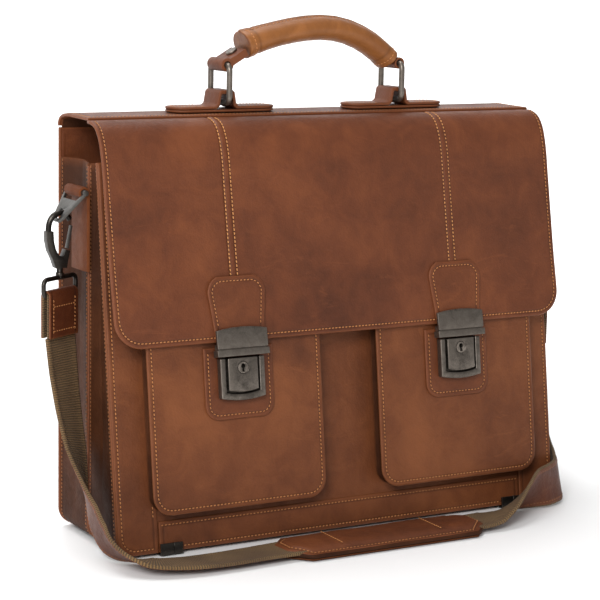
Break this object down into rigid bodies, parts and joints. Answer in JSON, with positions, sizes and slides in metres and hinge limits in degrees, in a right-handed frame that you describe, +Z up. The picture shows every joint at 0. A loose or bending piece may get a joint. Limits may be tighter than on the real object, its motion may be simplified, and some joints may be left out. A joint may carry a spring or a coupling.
{
  "type": "leather briefcase",
  "caption": "Tan leather satchel briefcase with a folding top and flap, front pockets with hasp push locks, a ring-hung carrying handle and a padded webbing shoulder strap on snap hooks.",
  "frame": {"origin": "on the floor, at the middle of the bag and its hardware, leaving out the shoulder strap", "axes": "+X to the right seen from the front, +Y from the front to the back, +Z up; the flap and locks face -Y"},
  "size_m": [0.4799, 0.1824, 0.4097],
  "materials": {
    "tan_leather": "pull-up leather, satin",
    "dark_leather": "dark brown leather, satin",
    "fibreboard": "raw board",
    "webbing": "woven webbing with a leather backing",
    "pewter": "antique pewter plating, worn"
  },
  "bodies": {
    "body": {"back_panel": "tan_leather", "divider": "tan_leather", "front_panel": "tan_leather", "rear_gusset": "dark_leather", "front_gusset": "dark_leather", "side_strip_left": "tan_leather", "side_strip_right": "tan_leather", "bottom_band": "tan_leather", "foot_clip_left": "pewter", "foot_clip_right": "pewter", "pocket_front_left": "tan_leather", "pocket_front_right": "tan_leather", "pocket_gusset_left": "dark_leather", "pocket_gusset_right": "dark_leather", "lock_patch_left": "tan_leather", "lock_patch_right": "tan_leather", "lock_case_left": "pewter", "lock_case_right": "pewter", "ring_tab_left": "tan_leather", "ring_tab_right": "tan_leather", "strap_left": "webbing", "strap_right": "webbing", "shoulder_pad": "tan_leather", "slide_buckle": "pewter"},
    "top": {"top_panel": "tan_leather", "top_stiffener": "fibreboard", "keeper_base_left": "tan_leather", "keeper_base_right": "tan_leather", "keeper_strap_left": "tan_leather", "keeper_strap_right": "tan_leather"},
    "flap": {"flap": "tan_leather", "flap_tab_left": "tan_leather", "flap_tab_right": "tan_leather", "hasp_left": "pewter", "hasp_right": "pewter"},
    "ring_left": {"handle_ring_left": "pewter"},
    "ring_right": {"handle_ring_right": "pewter"},
    "handle": {"handle_grip": "tan_leather", "handle_loop_left": "tan_leather", "handle_loop_right": "tan_leather", "handle_rivet": "pewter"},
    "push_left": {"push_plate_left": "pewter"},
    "key_left": {"key_barrel_left": "pewter"},
    "hanger_left": {"ring_plate_left": "pewter", "snap_hook_left": "pewter", "swivel_loop_left": "pewter", "strap_end_left": "webbing"},
    "gate_left": {"hook_gate_left": "pewter"},
    "push_right": {"push_plate_right": "pewter"},
    "key_right": {"key_barrel_right": "pewter"},
    "hanger_right": {"ring_plate_right": "pewter", "snap_hook_right": "pewter", "swivel_loop_right": "pewter", "strap_end_right": "webbing"},
    "gate_right": {"hook_gate_right": "pewter"}
  },
  "joints": [
    {"name": "top_fold", "type": "hinge", "parent": "body", "child": "top", "pos_m": [0, 0.06335, 0.3226], "axis": [-1, 0, 0], "range_deg": [0, 95]},
    {"name": "flap_fold", "type": "hinge", "parent": "top", "child": "flap", "pos_m": [0, 0.00445, 0.3319], "axis": [-1, 0, 0], "range_deg": [0, 90]},
    {"name": "left_ring_swing", "type": "hinge", "parent": "top", "child": "ring_left", "pos_m": [-0.0805, 0.02695, 0.3415], "axis": [0, 1, 0], "range_deg": [-25, 25]},
    {"name": "handle_swing", "type": "hinge", "parent": "ring_left", "child": "handle", "pos_m": [-0.0805, 0.02695, 0.3715], "axis": [0, 1, 0], "range_deg": [-25, 25]},
    {"name": "right_ring_swing", "type": "hinge", "parent": "top", "child": "ring_right", "pos_m": [0.0805, 0.02695, 0.3415], "axis": [0, 1, 0], "range_deg": [-25, 25]},
    {"name": "left_latch_press", "type": "slide", "parent": "body", "child": "push_left", "axis": [0, 0.9908, -0.135], "range_m": [0, 0.002], "stiffness_N_per_m": 1500, "springref_m": -0.002},
    {"name": "left_key_turn", "type": "hinge", "parent": "push_left", "child": "key_left", "pos_m": [-0.1015, -0.05683, 0.14346], "axis": [0, 0.9908, -0.135], "range_deg": [0, 90]},
    {"name": "left_hanger_swing", "type": "hinge", "parent": "body", "child": "hanger_left", "pos_m": [-0.21, 0.01395, 0.277], "axis": [0, 1, 0], "range_deg": [0, 50], "deforming": ["strap_left"]},
    {"name": "left_gate_turn", "type": "hinge", "parent": "hanger_left", "child": "gate_left", "pos_m": [-0.2182, 0.01395, 0.2334], "axis": [0, -1, 0], "range_deg": [0, 25], "stiffness_Nm_per_rad": 0.1, "springref_deg": -11.46},
    {"name": "right_latch_press", "type": "slide", "parent": "body", "child": "push_right", "axis": [0, 0.9908, -0.135], "range_m": [0, 0.002], "stiffness_N_per_m": 1500, "springref_m": -0.002},
    {"name": "right_key_turn", "type": "hinge", "parent": "push_right", "child": "key_right", "pos_m": [0.1015, -0.05683, 0.14346], "axis": [0, 0.9908, -0.135], "range_deg": [0, 90]},
    {"name": "right_hanger_swing", "type": "hinge", "parent": "body", "child": "hanger_right", "pos_m": [0.21, 0.01395, 0.277], "axis": [0, -1, 0], "range_deg": [0, 50], "deforming": ["strap_right"]},
    {"name": "right_gate_turn", "type": "hinge", "parent": "hanger_right", "child": "gate_right", "pos_m": [0.2182, 0.01395, 0.2334], "axis": [0, 1, 0], "range_deg": [0, 25], "stiffness_Nm_per_rad": 0.1, "springref_deg": -11.46}
  ],
  "couplings": [
    {"joint": "handle_swing", "follows": "left_ring_swing", "ratio": -1},
    {"joint": "right_ring_swing", "follows": "left_ring_swing", "ratio": 1}
  ]
}
